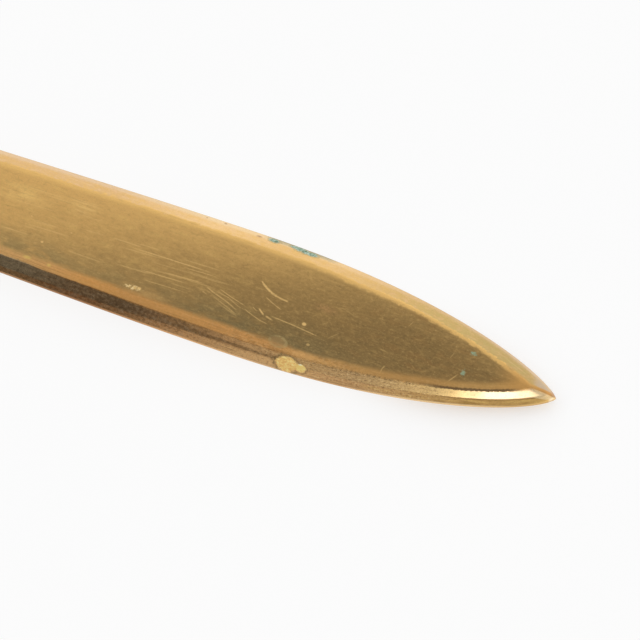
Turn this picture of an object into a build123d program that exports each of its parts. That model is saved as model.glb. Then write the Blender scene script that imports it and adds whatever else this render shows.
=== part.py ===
from build123d import *
import math
import os

# ---------------------------------------------------------------------------
# Letter opener: solid brass spear-point blade with a through tang, a brass
# cross guard, an oval hardwood grip held between two brass ferrules, and a
# brass pommel drawn up by a slotted nut on the threaded end of the tang.
#
# Everything is drawn in a working frame first: x along the blade, with the
# tip at +x and the guard's front face at x = 0, y across the blade, z through
# its thickness.  At the end all pieces are turned together into the pose in
# which the opener lies on a desk: on the guard's lower edge and on the
# underside of the point.
# ---------------------------------------------------------------------------

# blade
BLADE_LEN = 138.0        # guard's front face to the tip
BLADE_T = 3.0            # bar thickness
HALF_W = 11.0            # half the blade's width at its widest
WIDEST = 56.0            # distance from the tip to the widest place
POINT_N = 2.3            # fullness of the point
POINT_M = 0.745          # bluntness of the very tip
NECK_DROP = 1.2          # the blade narrows by this much a side towards the guard
EDGE_LAND = 0.30         # half the height of the blunt edge
LOW_BEVEL = (0.95, 0.85)     # the edge's steeper facet: inset, height over mid plane
BEVEL_W = 2.95           # the whole bevel, in plan
RICASSO_LEN = 14.0       # plain bar between the guard and the bevels
LET_IN = 1.0             # the blade's end is let into the guard by this much
LET_IN_STEP = 0.1        # and steps in by this much all round there, which leaves room for solder
RICASSO_R = 0.35         # broken edges of the plain bar

# tang
TANG_T = 2.8             # filed a little thinner than the bar
TANG_W0, TANG_W1 = 10.0, 7.0     # width at the shoulder and at the thread
TANG_END = -84.0                 # where the flat tang ends
THREAD_R = 1.5                   # M3
THREAD_END = -99.3               # ends under the nut's slot
PIN_R = 1.25
PIN_X = -33.0

# guard
GUARD_LEN = 7.0          # along the blade
GUARD_H = 5.5            # half its height at the middle
GUARD_R = 1.2            # rounding of its long edges
GUARD_FLAT = 9.0         # half the span of the straight middle
GUARD_ARM = [            # y, length along the blade, height of each arm
    (9.0, 7.00, 11.0),
    (11.0, 6.75, 10.5),
    (13.2, 6.25, 9.5),
    (15.4, 6.00, 8.9),
    (17.4, 6.15, 8.9),
    (19.0, 6.25, 8.9),
    (20.0, 6.20, 8.8),
]
GUARD_END_R = 0.9        # rounding of the arms' ends

# spacers, ferrules, grip
SPACER_T = 1.0
FERRULE_LEN = 8.0
FERRULE_WALL = 1.5       # end wall with the tang slot
SLEEVE = (8.2, 4.9)      # half axes of the sleeve's outside
BEAD = (8.8, 5.35)       # half axes over the bead
TENON = (7.2, 4.05)      # half axes of the grip's tenons
SLOT_CLEAR = 0.1         # slots stand off the tang by this much
FIT = 0.05               # glued and sliding fits
GRIP_SECTIONS = [        # x, half width, half thickness of the grip between the ferrules
    (-16.0, 8.00, 4.80),
    (-26.0, 8.55, 5.30),
    (-40.0, 9.05, 5.80),
    (-54.0, 8.95, 5.75),
    (-67.0, 8.35, 5.35),
    (-77.0, 7.95, 4.90),
]

# pommel, nut
POMMEL_SECTIONS = [      # x, half width, half thickness
    (-87.0, 7.30, 4.50),
    (-89.2, 7.70, 4.90),
    (-92.2, 9.10, 6.10),
    (-95.2, 9.40, 6.40),
    (-97.8, 8.10, 5.60),
    (-99.0, 6.60, 4.90),
]
BORE_R = 1.6             # clearance bore for the thread
COUNTERBORE_R = 3.6
COUNTERBORE_D = 3.4
NUT_R = 3.4
NUT_LEN = 5.6
WASHER_T = 0.5
NUT_SLOT_W = 1.0
NUT_SLOT_D = 1.3


# ---------------------------------------------------------------------------
# helpers
# ---------------------------------------------------------------------------
def half_width(s):
    """Half the blade's width at distance s from the tip."""
    if s <= 0:
        return 0.0
    if s < WIDEST:
        return HALF_W * (1 - (1 - s / WIDEST) ** POINT_N) ** POINT_M
    q = (s - WIDEST) / (BLADE_LEN - WIDEST)
    q = min(q, 1.0)
    return HALF_W - NECK_DROP * q * q * (3 - 2 * q)


def inset(s, d):
    """The point of the outline at s, moved inwards by d, as (distance from the tip, half width)."""
    e = 1e-4
    slope = (half_width(s + e) - half_width(max(s - e, 1e-9))) / (s + e - max(s - e, 1e-9))
    n = math.hypot(1, slope)
    return s + d * slope / n, half_width(s) - d / n


def side(d, s_end):
    """Points of one side of the outline inset by d, from its apex on the centre line back to s_end."""
    if d == 0:
        first = 0.0
        points = [(0.0, 0.0)]
    else:
        lo, hi = 1e-3, 40.0
        for _ in range(80):
            mid = (lo + hi) / 2
            if inset(mid, d)[1] < 0:
                lo = mid
            else:
                hi = mid
        first = hi
        points = [(inset(first, d)[0], 0.0)]
    # close together at the point, further apart along the sides
    n = 15
    for i in range(1, n + 1):
        t = (i / n) ** 1.9
        s = first + (s_end - first) * t
        points.append(inset(s, d) if d else (s, half_width(s)))
    a, b = points[-1]
    points[-1] = (s_end, b)
    return points


def outline(d, s_end, z):
    pts = side(d, s_end)
    left = [(BLADE_LEN - s, v, z) for s, v in pts]
    right = [(BLADE_LEN - s, -v, z) for s, v in pts]
    edges = [
        Line(left[-1], right[-1]),
        Spline(*reversed(right)),
        Spline(*left),
    ]
    return make_face(edges)


def oval(x, a, b):
    """An ellipse across the axis at x, with half axes a (y) and b (z)."""
    return Plane(origin=(x, 0, 0), x_dir=(0, 1, 0), z_dir=(1, 0, 0)) * Ellipse(a, b)


def oval_block(x0, x1, a, b):
    return extrude(oval(x0, a, b), amount=x1 - x0)


def slot_block(x0, x1, w, t):
    return Pos((x0 + x1) / 2, 0, 0) * Box(abs(x1 - x0), w, t)


def rod(x0, x1, r):
    return extrude(
        Plane(origin=(x0, 0, 0), x_dir=(0, 1, 0), z_dir=(1, 0, 0)) * Circle(r),
        amount=x1 - x0,
    )


def tang_width(x):
    return TANG_W0 + (TANG_W1 - TANG_W0) * min(1.0, max(0.0, -x / -TANG_END))


def tang_block(x0, x1, clear):
    """The flat tang between two stations, grown by clear on every side."""
    w0, w1 = tang_width(x0) / 2 + clear, tang_width(x1) / 2 + clear
    face = make_face(Polyline((x0, w0, 0), (x1, w1, 0), (x1, -w1, 0), (x0, -w0, 0), close=True))
    return extrude(face, amount=TANG_T / 2 + clear, both=True)


# ---------------------------------------------------------------------------
# blade: bar, bevels, ricasso, tang
# ---------------------------------------------------------------------------
S_BEVEL = BLADE_LEN - RICASSO_LEN
low_d, low_z = LOW_BEVEL
edge_face = outline(0.0, S_BEVEL, EDGE_LAND)
low_face = outline(low_d, S_BEVEL, low_z)
flat_face = outline(BEVEL_W, S_BEVEL, BLADE_T / 2)
upper = loft([edge_face, low_face], ruled=True) + loft([low_face, flat_face], ruled=True)
core = extrude(outline(0.0, S_BEVEL, 0.0), amount=EDGE_LAND, both=True)
bevelled = upper + core + mirror(upper, about=Plane.XY)

rs = [BLADE_LEN - RICASSO_LEN + i * RICASSO_LEN / 4 for i in range(5)]
ric_l = [(BLADE_LEN - s, half_width(s), 0) for s in rs]
ric_r = [(x, -y, z) for x, y, z in ric_l]
ric_face = make_face([
    Line(ric_r[0], ric_l[0]),
    Spline(*ric_l),
    Line(ric_l[-1], ric_r[-1]),
    Spline(*reversed(ric_r)),
])
ricasso = extrude(ric_face, amount=BLADE_T / 2, both=True)
long_edges = [
    e for e in ricasso.edges()
    if abs(abs(e.center().Z) - BLADE_T / 2) < 1e-6 and abs(e.center().Y) > 5
]
ricasso = fillet(long_edges, RICASSO_R)

stub_w = 2 * (half_width(BLADE_LEN) - LET_IN_STEP)
stub = slot_block(-LET_IN, 1.0, stub_w, BLADE_T - 2 * LET_IN_STEP)
tang = tang_block(TANG_END, -LET_IN / 2, 0.0)
thread = rod(THREAD_END, TANG_END + 1.0, THREAD_R)
thread_tip = thread.faces().sort_by(Axis.X)[0].edges()
thread = chamfer(thread_tip, 0.4)
pin_hole = Pos(PIN_X, 0, 0) * Cylinder(PIN_R + FIT / 2, 3 * BLADE_T)
blade = bevelled + ricasso + stub + tang + thread - pin_hole

# ---------------------------------------------------------------------------
# guard: waisted bar with rounded ends, slotted for the tang, with a shallow
# recess that takes the blade's shoulders
# ---------------------------------------------------------------------------
GL = GUARD_LEN


def guard_section(y, length, height):
    """The guard's section across its span at y: a rectangle with rounded corners."""
    plane = Plane(origin=(-GL / 2, y, 0), x_dir=(1, 0, 0), z_dir=(0, 1, 0))
    return plane * RectangleRounded(length, height, GUARD_R)


guard_middle = extrude(guard_section(-GUARD_FLAT, GL, 2 * GUARD_H), amount=2 * GUARD_FLAT)
guard_arm = loft([guard_section(*station) for station in GUARD_ARM])
guard_arm = fillet(guard_arm.faces().sort_by(Axis.Y)[-1].edges(), GUARD_END_R)
guard = guard_middle + guard_arm + mirror(guard_arm, about=Plane.XZ)
guard = guard - slot_block(-LET_IN, 1.0, 2 * half_width(BLADE_LEN) + 2 * FIT, BLADE_T + 2 * FIT)
guard = guard - tang_block(-GL - 1.0, 0.0, SLOT_CLEAR)

# ---------------------------------------------------------------------------
# front spacer, front ferrule
# ---------------------------------------------------------------------------
x = -GL
front_spacer = oval_block(x - SPACER_T, x, BEAD[0] - 0.35, BEAD[1] - 0.35) - tang_block(x - SPACER_T - 1, x + 1, SLOT_CLEAR)
x -= SPACER_T
F0 = x                              # front face of the front ferrule


def ferrule(x_wall, direction):
    """A sleeve with a bead at its walled end.  x_wall is the wall's outer face and the sleeve runs from there in the given direction."""
    d = direction

    def seg(a, b, half):
        lo, hi = sorted((x_wall + d * a, x_wall + d * b))
        return oval_block(lo, hi, *half)

    sleeve = seg(0.0, FERRULE_LEN, SLEEVE)
    bead = seg(0.25, 2.75, BEAD)
    bead = fillet(bead.edges(), 1.15)
    lip = seg(FERRULE_LEN - 1.5, FERRULE_LEN, (SLEEVE[0] + 0.35, SLEEVE[1] + 0.28))
    lip = fillet(lip.edges(), 0.55)
    body = sleeve + bead + lip
    body = body - seg(FERRULE_WALL, FERRULE_LEN + 1.0, (TENON[0] + FIT, TENON[1] + FIT))
    lo, hi = sorted((x_wall - d * 1.0, x_wall + d * (FERRULE_WALL + 1.0)))
    return body - tang_block(lo, hi, SLOT_CLEAR)


front_ferrule = ferrule(F0, -1)

# ---------------------------------------------------------------------------
# grip: oval body with a tenon at each end, slotted for the tang and cross
# drilled for its pin
# ---------------------------------------------------------------------------
G0 = F0 - FERRULE_LEN               # body starts against the front ferrule's lip
G1 = GRIP_SECTIONS[-1][0]           # and ends against the rear ferrule's lip
body = loft([oval(px, a, b) for px, a, b in GRIP_SECTIONS])
R0 = G1 - FERRULE_LEN               # rear face of the rear ferrule
tenon_f = oval_block(G0 - 0.5, F0 - FERRULE_WALL, *TENON)
tenon_r = oval_block(R0 + FERRULE_WALL, G1 + 0.5, *TENON)
grip_solid = body + tenon_f + tenon_r
grip = grip_solid - tang_block(TANG_END, F0 + 2.0, SLOT_CLEAR)
grip = grip - rod(R0 - 1.0, TANG_END + 1.5, BORE_R)
grip = grip - Pos(PIN_X, 0, 0) * Cylinder(PIN_R + FIT / 2, 40)

grip_pin = (Pos(PIN_X, 0, 0) * Cylinder(PIN_R, 40)) & body

# ---------------------------------------------------------------------------
# rear ferrule, rear spacer
# ---------------------------------------------------------------------------
rear_ferrule = ferrule(R0, 1)
rear_spacer = oval_block(R0 - SPACER_T, R0, POMMEL_SECTIONS[0][1] + 0.15, POMMEL_SECTIONS[0][2] + 0.15) - rod(R0 - SPACER_T - 1, R0 + 1, BORE_R)
P0 = R0 - SPACER_T                  # front face of the pommel

# ---------------------------------------------------------------------------
# pommel, washer and nut
# ---------------------------------------------------------------------------
shift = P0 - POMMEL_SECTIONS[0][0]
pommel = loft([oval(px + shift, a, b) for px, a, b in POMMEL_SECTIONS])
P1 = POMMEL_SECTIONS[-1][0] + shift
pommel = pommel - rod(P1 - 1.0, P0 + 1.0, BORE_R)
pommel = pommel - rod(P1 - 1.0, P1 + COUNTERBORE_D, COUNTERBORE_R)

W0 = P1 + COUNTERBORE_D             # seat of the washer
tang_washer = rod(W0 - WASHER_T, W0, NUT_R) - rod(W0 - 2, W0 + 2, THREAD_R + 0.1)
N0 = W0 - WASHER_T                  # seat of the nut
tang_nut = rod(N0 - NUT_LEN, N0, NUT_R)
tang_nut = fillet(tang_nut.faces().sort_by(Axis.X)[0].edges(), 2.0)
tang_nut = tang_nut - rod(N0 - NUT_LEN - 1, N0 + 1, THREAD_R + 0.02)
tang_nut = tang_nut - Pos(N0 - NUT_LEN, 0, 0) * Box(2 * NUT_SLOT_D, 4 * NUT_R, NUT_SLOT_W)

# ---------------------------------------------------------------------------
# into the lying pose: on the guard's rounded front edge and on the apex of
# the blade's lower flat
# ---------------------------------------------------------------------------
apex = side(BEVEL_W, S_BEVEL)[0][0]
ax, az = BLADE_LEN - apex, -BLADE_T / 2
cx, cz, r = -GUARD_R, -GUARD_H + GUARD_R, GUARD_R      # rounding under the guard's front edge
tilt = 0.0
for _ in range(60):
    # the floor leaves the rounding at its lowest point for this tilt and meets the apex
    fx, fz = cx + r * math.sin(tilt), cz - r * math.cos(tilt)
    tilt = math.atan2(az - fz, ax - fx)
pieces = {
    "blade": blade,
    "guard": guard,
    "front_spacer": front_spacer,
    "front_ferrule": front_ferrule,
    "grip": grip,
    "grip_pin": grip_pin,
    "rear_ferrule": rear_ferrule,
    "rear_spacer": rear_spacer,
    "pommel": pommel,
    "tang_washer": tang_washer,
    "tang_nut": tang_nut,
}
turned = {name: Rot(0, math.degrees(tilt), 0) * shape for name, shape in pieces.items()}
boxes = [shape.bounding_box() for shape in turned.values()]
low_x = min(b.min.X for b in boxes)
high_x = max(b.max.X for b in boxes)
low_z = -(-fx * math.sin(tilt) + fz * math.cos(tilt))
move = Pos(-(low_x + high_x) / 2, 0, low_z)

os.makedirs("parts", exist_ok=True)
for name, shape in turned.items():
    placed = move * shape
    export_step(placed, f"parts/{name}.step")

print("tilt_deg", round(math.degrees(tilt), 5))
print("shift_x", round(-(low_x + high_x) / 2, 5), "shift_z", round(low_z, 5))
print("apex_from_tip", round(apex, 4), "length", round(high_x - low_x, 3))
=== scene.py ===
import math
import random

import bmesh
import bpy
import numpy as np
from mathutils import Matrix, Vector, noise


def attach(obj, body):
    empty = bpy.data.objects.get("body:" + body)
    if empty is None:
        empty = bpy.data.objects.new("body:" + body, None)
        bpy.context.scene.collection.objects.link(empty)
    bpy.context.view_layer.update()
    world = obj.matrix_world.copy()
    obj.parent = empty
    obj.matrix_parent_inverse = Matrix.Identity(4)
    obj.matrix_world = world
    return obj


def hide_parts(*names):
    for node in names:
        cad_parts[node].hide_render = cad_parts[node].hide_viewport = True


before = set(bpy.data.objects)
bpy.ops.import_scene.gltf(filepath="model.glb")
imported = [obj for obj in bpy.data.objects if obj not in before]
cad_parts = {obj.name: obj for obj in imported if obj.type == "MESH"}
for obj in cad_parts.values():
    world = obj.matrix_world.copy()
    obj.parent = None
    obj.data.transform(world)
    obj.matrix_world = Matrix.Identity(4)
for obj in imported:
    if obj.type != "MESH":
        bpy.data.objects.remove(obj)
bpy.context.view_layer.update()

# ---------------------------------------------------------------------------
# the opener's own frame, in millimetres: x to the tip with the guard's front
# face at 0, y across the blade, z through it; and its place as it lies
# ---------------------------------------------------------------------------
TILT = math.radians(1.7083)
SHIFT_X, SHIFT_Z = -18.62533, 5.46232
BLADE_LEN, BLADE_T, HALF_W = 138.0, 3.0, 11.0
WIDEST, POINT_N, POINT_M, NECK_DROP = 56.0, 2.3, 0.745, 1.2


def place(p):
    """Points of the opener's own frame (mm) where they lie, in metres."""
    p = np.asarray(p, float)
    x, y, z = p[..., 0], p[..., 1], p[..., 2]
    c, s = math.cos(TILT), math.sin(TILT)
    return np.stack([x * c + z * s + SHIFT_X, y, -x * s + z * c + SHIFT_Z], -1) * 0.001


def unplace(p):
    p = np.asarray(p, float) * 1000.0
    x, y, z = p[..., 0] - SHIFT_X, p[..., 1], p[..., 2] - SHIFT_Z
    c, s = math.cos(TILT), math.sin(TILT)
    return np.stack([x * c - z * s, y, x * s + z * c], -1)


def smooth(v, lo, hi):
    f = np.clip((np.asarray(v, float) - lo) / (hi - lo), 0.0, 1.0)
    return f * f * (3 - 2 * f)


# ---------------------------------------------------------------------------
# node graphs
# ---------------------------------------------------------------------------
class Graph:
    """Short calls for building a node tree. An argument is a socket or a value."""

    def __init__(self, tree):
        self.tree = tree

    def node(self, kind, **props):
        n = self.tree.nodes.new(kind)
        for k, v in props.items():
            setattr(n, k, v)
        return n

    def put(self, socket, value):
        if isinstance(value, bpy.types.NodeSocket):
            self.tree.links.new(value, socket)
        else:
            socket.default_value = value

    def math(self, op, a, b=None, c=None, clamp=False):
        n = self.node("ShaderNodeMath", operation=op, use_clamp=clamp)
        for i, v in enumerate((a, b, c)):
            if v is not None:
                self.put(n.inputs[i], v)
        return n.outputs[0]

    def add(self, a, b, *more):
        out = self.math("ADD", a, b)
        for m in more:
            out = self.math("ADD", out, m)
        return out

    def sub(self, a, b):
        return self.math("SUBTRACT", a, b)

    def mul(self, a, b, *more):
        out = self.math("MULTIPLY", a, b)
        for m in more:
            out = self.math("MULTIPLY", out, m)
        return out

    def inv(self, a):
        return self.math("SUBTRACT", 1.0, a)

    def max(self, a, *more):
        for m in more:
            a = self.math("MAXIMUM", a, m)
        return a

    def vec(self, op, a, b=None, c=None):
        n = self.node("ShaderNodeVectorMath", operation=op)
        for i, v in enumerate((a, b, c)):
            if v is not None:
                self.put(n.inputs[i], v)
        return n.outputs["Value"] if op in ("DOT_PRODUCT", "LENGTH", "DISTANCE") else n.outputs[0]

    def scaled(self, v, f):
        n = self.node("ShaderNodeVectorMath", operation="SCALE")
        self.put(n.inputs[0], v)
        self.put(n.inputs["Scale"], f)
        return n.outputs[0]

    def join(self, x, y, z):
        n = self.node("ShaderNodeCombineXYZ")
        for i, v in enumerate((x, y, z)):
            self.put(n.inputs[i], v)
        return n.outputs[0]

    def split(self, v):
        n = self.node("ShaderNodeSeparateXYZ")
        self.put(n.inputs[0], v)
        return n.outputs[0], n.outputs[1], n.outputs[2]

    def step(self, v, lo, hi, a=0.0, b=1.0):
        n = self.node("ShaderNodeMapRange", interpolation_type="SMOOTHSTEP", clamp=False)
        self.put(n.inputs[0], v)
        for i, x in enumerate((lo, hi, a, b)):
            self.put(n.inputs[i + 1], x)
        return n.outputs[0]

    def band(self, v, a, b, c, d):
        """1 between b and c, falling to 0 at a and d."""
        return self.mul(self.step(v, a, b), self.step(v, d, c))

    def noise(self, v, scale=(1, 1, 1), detail=2.0, rough=0.5, warp=0.0, shift=(0, 0, 0)):
        n = self.node("ShaderNodeTexNoise")
        self.put(n.inputs["Vector"], self.vec("MULTIPLY_ADD", v, tuple(scale), tuple(shift)))
        self.put(n.inputs["Scale"], 1.0)
        self.put(n.inputs["Detail"], detail)
        self.put(n.inputs["Roughness"], rough)
        self.put(n.inputs["Distortion"], warp)
        return n.outputs["Fac"]

    def cells(self, v, scale=(1, 1, 1), feature="F1"):
        n = self.node("ShaderNodeTexVoronoi", feature=feature)
        self.put(n.inputs["Vector"], self.vec("MULTIPLY", v, tuple(scale)))
        self.put(n.inputs["Scale"], 1.0)
        return n.outputs["Distance"]

    def ramp(self, v, *stops):
        """A colour along v: stops are (v, colour)."""
        lo, hi = stops[0][0], stops[-1][0]
        n = self.node("ShaderNodeValToRGB")
        e = n.color_ramp.elements
        while len(e) < len(stops):
            e.new(0.5)
        for el, (at, col) in zip(e, stops):
            el.position = (at - lo) / (hi - lo)
            el.color = (*col, 1.0)
        self.put(n.inputs[0], self.math("DIVIDE", self.sub(v, lo), hi - lo))
        return n.outputs[0]

    def mix(self, f, a, b):
        n = self.node("ShaderNodeMix", data_type="RGBA")
        n.clamp_factor = True
        self.put(n.inputs[0], f)
        for s, v in ((n.inputs[6], a), (n.inputs[7], b)):
            if isinstance(v, tuple) and len(v) == 3:
                v = (*v, 1.0)
            self.put(s, v)
        return n.outputs[2]

    def blend(self, f, a, b):
        n = self.node("ShaderNodeMix", data_type="FLOAT")
        n.clamp_factor = True
        self.put(n.inputs[0], f)
        self.put(n.inputs[2], a)
        self.put(n.inputs[3], b)
        return n.outputs[0]

    def bump(self, height, distance, normal=None):
        n = self.node("ShaderNodeBump")
        n.inputs["Strength"].default_value = 1.0
        n.inputs["Distance"].default_value = distance
        self.put(n.inputs["Height"], height)
        if normal is not None:
            self.put(n.inputs["Normal"], normal)
        return n.outputs[0]


def material(name):
    """A new material with one shader: the material, its graph and the shader node."""
    m = bpy.data.materials.new(name)
    m.use_nodes = True
    return m, Graph(m.node_tree), m.node_tree.nodes["Principled BSDF"]


def own_frame(g):
    """The opener's own frame, in millimetres, from object coordinates."""
    tc = g.node("ShaderNodeTexCoord")
    mp = g.node("ShaderNodeMapping", vector_type="POINT")
    back = Matrix.Rotation(-TILT, 3, "Y") @ Vector((SHIFT_X, 0, SHIFT_Z))
    mp.inputs["Scale"].default_value = (1000, 1000, 1000)
    mp.inputs["Rotation"].default_value = (0, -TILT, 0)
    mp.inputs["Location"].default_value = -back
    g.put(mp.inputs["Vector"], tc.outputs["Object"])
    return mp.outputs[0]


# ---------------------------------------------------------------------------
# blade
# ---------------------------------------------------------------------------
def half_width(s):
    s = np.asarray(s, float)
    q = np.clip((s - WIDEST) / (BLADE_LEN - WIDEST), 0, 1)
    point = HALF_W * (1 - np.clip(1 - s / WIDEST, 0, 1) ** POINT_N) ** POINT_M
    return np.where(s < WIDEST, point, HALF_W - NECK_DROP * q * q * (3 - 2 * q))


def half_slope(s):
    e = 1e-4
    lo = np.maximum(s - e, 1e-7)
    return (half_width(s + e) - half_width(lo)) / (s + e - lo)


# section of the bevel: height over the mid plane against distance from the edge
CAP_D, CAP_Z, CAP_K = 0.18, 0.404, 0.2996
LOW_SLOPE, MAIN_SLOPE, SHOULDER_SLOPE = 0.58, 0.36, 0.153
LOW_END, MAIN_END, FLAT_START = 1.03, 2.5, 3.7
_d = np.linspace(CAP_D, FLAT_START, 1600)
_slope = LOW_SLOPE + (MAIN_SLOPE - LOW_SLOPE) * smooth(_d, LOW_END - 0.14, LOW_END + 0.14)
_sh = SHOULDER_SLOPE * np.clip(1 - (_d - MAIN_END) / (FLAT_START - MAIN_END), 0, 1)
_slope = _slope + (_sh - _slope) * smooth(_d, MAIN_END - 0.12, MAIN_END + 0.13)
_z = CAP_Z + np.concatenate([[0], np.cumsum((_slope[1:] + _slope[:-1]) / 2 * np.diff(_d))])
_z = CAP_Z + (_z - CAP_Z) * (BLADE_T / 2 - CAP_Z) / (_z[-1] - CAP_Z)


def bevel_height(d):
    d = np.asarray(d, float)
    t = np.sqrt(np.clip(d, 0, CAP_D) / CAP_D)
    cap = 2 * t * (1 - t) * CAP_K + t * t * CAP_Z
    return np.where(d < CAP_D, cap, np.interp(d, _d, _z))


def bar_height(d, r=0.35):
    d = np.asarray(d, float)
    q = np.clip(d, 0, r)
    return BLADE_T / 2 - r + np.sqrt(np.maximum(r * r - (r - q) ** 2, 0))


_os = np.concatenate([np.linspace(0, 1, 700) ** 2 * 20, np.linspace(20.05, BLADE_LEN, 2600)])
OUTLINE = np.stack([BLADE_LEN - _os, half_width(_os)], -1)


def edge_distance(x, y):
    """Distance of plan points from the outline's upper half."""
    p = np.stack([np.asarray(x, float).ravel(), np.asarray(y, float).ravel()], -1)
    out = np.empty(len(p))
    for i in range(0, len(p), 4000):
        q = p[i:i + 4000]
        d2 = (q[:, None, 0] - OUTLINE[None, :, 0]) ** 2 + (q[:, None, 1] - OUTLINE[None, :, 1]) ** 2
        out[i:i + 4000] = np.sqrt(d2.min(1))
    return out


RIDGE_R = 0.32


def ground(d, x, y, side, up):
    """The distance from the edge as the grinding left it: rounded over where the
    two bevels meet at the tip, and a little uneven along the blade."""
    other = np.full(len(d), 99.0)
    m = (x > 126) & (y < 2.6)
    if m.any():
        other[m] = edge_distance(x[m], -y[m])
    d = d - RIDGE_R * np.log1p(np.exp(-np.maximum(other - d, 0) / RIDGE_R)) * smooth(d, 0.1, 0.9)
    w = np.array([0.11 * noise.noise(Vector((a * 0.13, side * 7.3, up * 13.7)))
                  + 0.05 * noise.noise(Vector((a * 0.43, side * 3.1, up * 5.9))) for a in x])
    return d + w * smooth(d, 0.7, 1.7) * smooth(x, 136.5, 131.0)


def crust(x, y):
    """Where the verdigris stands on the far edge, 0 to 1, with a broken outline."""
    v = 0.0
    for cx, cy, rx, ry in CRUST:
        q = ((x - cx) / rx) ** 2 + ((y - cy) / ry) ** 2
        v = max(v, 1.0 - q)
    v += 0.6 * noise.noise(Vector((x * 2.1, y * 2.6, 5.0)))
    return float(np.clip(v, 0, 1))


def scab(x, y):
    """The raised spot on the near bevel, 0 to 1."""
    v = 0.0
    for cx, cy, rx, ry in SCAB:
        q = ((x - cx) / rx) ** 2 + ((y - cy) / ry) ** 2
        v = max(v, 1.0 - q)
    return float(smooth(v + 0.25 * noise.noise(Vector((x * 1.9, y * 2.2, 9.0))), 0.0, 0.35))


# patches of verdigris on the far edge and of hard residue on the near bevel:
# place, half length and half width
CRUST = [(85.9, 10.3, 1.0, 0.45), (89.4, 10.42, 0.8, 0.32), (90.4, 10.3, 1.0, 0.5), (91.4, 10.12, 0.85, 0.5),
         (92.6, 10.08, 1.1, 0.46)]
SCAB = [(95.3, -9.66, 2.0, 1.1), (97.6, -9.62, 1.05, 0.66)]


def blade_mesh():
    cap = [CAP_D * t * t for t in (0.0, 0.28, 0.52, 0.76, 1.0)]
    across = np.array(cap + [0.34, 0.54, 0.74, 0.89, 0.97, 1.03, 1.09, 1.17, 1.34, 1.56, 1.80, 2.03, 2.22,
                             2.36, 2.44, 2.50, 2.56, 2.66, 2.84, 3.04, 3.25, 3.47, FLAT_START])
    flat_n = 22
    stations = np.concatenate([
        np.linspace(0, 1, 64) ** 1.55 * 9.0,
        np.arange(9.33, 118.0, 0.36),
        np.arange(118.2, 130.0, 0.3),
        np.arange(130.6, 138.0, 0.8),
        [BLADE_LEN],
    ])
    rings = []
    for s in stations:
        h, hp = float(half_width(s)), float(half_slope(s))
        n = math.hypot(1, hp)
        d = np.minimum(across, h * n)
        x = BLADE_LEN - (s + d * hp / n)
        y = h - d / n
        y[d >= h * n - 1e-9] = 0.0
        # the bevel runs out into the plain bar in a curved plunge
        plunge = smooth(-x, -(16.4 - 0.5 * d), -(11.6 - 0.5 * d))
        sides = {}
        for side in (-1, 1):
            for up in (-1, 1):
                e = ground(d, x, y, side, up)
                z = bevel_height(e) * (1 - plunge) + bar_height(d) * plunge
                for i in np.nonzero((up > 0) & (d > 0.02) & (x > 84) & (x < 99.5) & (d < 3))[0]:
                    if side > 0:
                        z[i] += 0.06 * crust(x[i], y[i])
                    else:
                        z[i] += 0.035 * scab(x[i], -y[i]) * float(smooth(d[i], 0.0, 0.4))
                sides[side, up] = np.stack([x, side * y, up * z], -1)
        for up in (-1, 1):
            # the two sides meet on the middle line at one height
            m = y == 0.0
            zm = (sides[-1, up][m, 2] + sides[1, up][m, 2]) / 2
            sides[-1, up][m, 2] = sides[1, up][m, 2] = zm
        fy = np.linspace(-y[-1], y[-1], flat_n + 2)[1:-1]
        sheets = {}
        for up in (-1, 1):
            za, zb = sides[-1, up][-1, 2], sides[1, up][-1, 2]
            fz = np.linspace(za, zb, flat_n + 2)[1:-1]
            sheets[up] = np.concatenate([
                sides[-1, up],
                np.stack([np.full(flat_n, x[-1]), fy, fz], -1),
                sides[1, up][::-1],
            ])
        rings.append(np.concatenate([sheets[1], sheets[-1][1:-1][::-1]]))
    m = len(rings[0])

    # stub in the guard, tang and threaded end
    last = rings[-1] * np.array([0, 1, 1])
    half0 = float(half_width(BLADE_LEN))

    def scaled_ring(x, half_y, half_z):
        r = last * np.array([0, half_y / half0, half_z / (BLADE_T / 2)])
        r[:, 0] = x
        return r

    rings.append(scaled_ring(0.0, half0 - 0.1, 1.4))
    rings.append(scaled_ring(-1.0, half0 - 0.1, 1.4))
    for x in (-1.1, -14.0, -27.0, -33.0, -39.0, -54.0, -70.0, -84.0):
        rings.append(scaled_ring(x, (10.0 - 3.0 * -x / 84.0) / 2, 1.4))
    tang = rings[-1]
    closed = np.concatenate([tang, tang[:1]])
    arc = np.concatenate([[0], np.cumsum(np.linalg.norm(np.diff(closed[:, 1:], axis=0), axis=1))])
    ang = -2 * math.pi * arc[:-1] / arc[-1]
    for x, r in ((-84.1, 1.5), (-98.9, 1.5), (-99.3, 1.1)):
        rings.append(np.stack([np.full(m, x), -r * np.cos(ang), -r * np.sin(ang)], -1))

    verts = np.concatenate(rings + [np.array([[-99.3, 0.0, 0.0]])])
    faces = []
    for i in range(len(rings) - 1):
        a, b = i * m, (i + 1) * m
        for k in range(m):
            k2 = (k + 1) % m
            faces.append((a + k, a + k2, b + k2, b + k))
    e, c = (len(rings) - 1) * m, len(verts) - 1
    faces += [(e + k, e + (k + 1) % m, c) for k in range(m)]
    return verts, faces


def make_object(name, verts, faces, sharp_deg=38.0):
    me = bpy.data.meshes.new(name)
    me.from_pydata([tuple(v) for v in place(verts)], [], faces)
    bm = bmesh.new()
    bm.from_mesh(me)
    bmesh.ops.remove_doubles(bm, verts=bm.verts, dist=1.5e-6)
    bmesh.ops.dissolve_degenerate(bm, edges=bm.edges, dist=1e-7)
    bmesh.ops.recalc_face_normals(bm, faces=bm.faces)
    bm.to_mesh(me)
    bm.free()
    ob = bpy.data.objects.new(name, me)
    bpy.context.scene.collection.objects.link(ob)
    finish_shading(ob, sharp_deg)
    return ob


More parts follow.
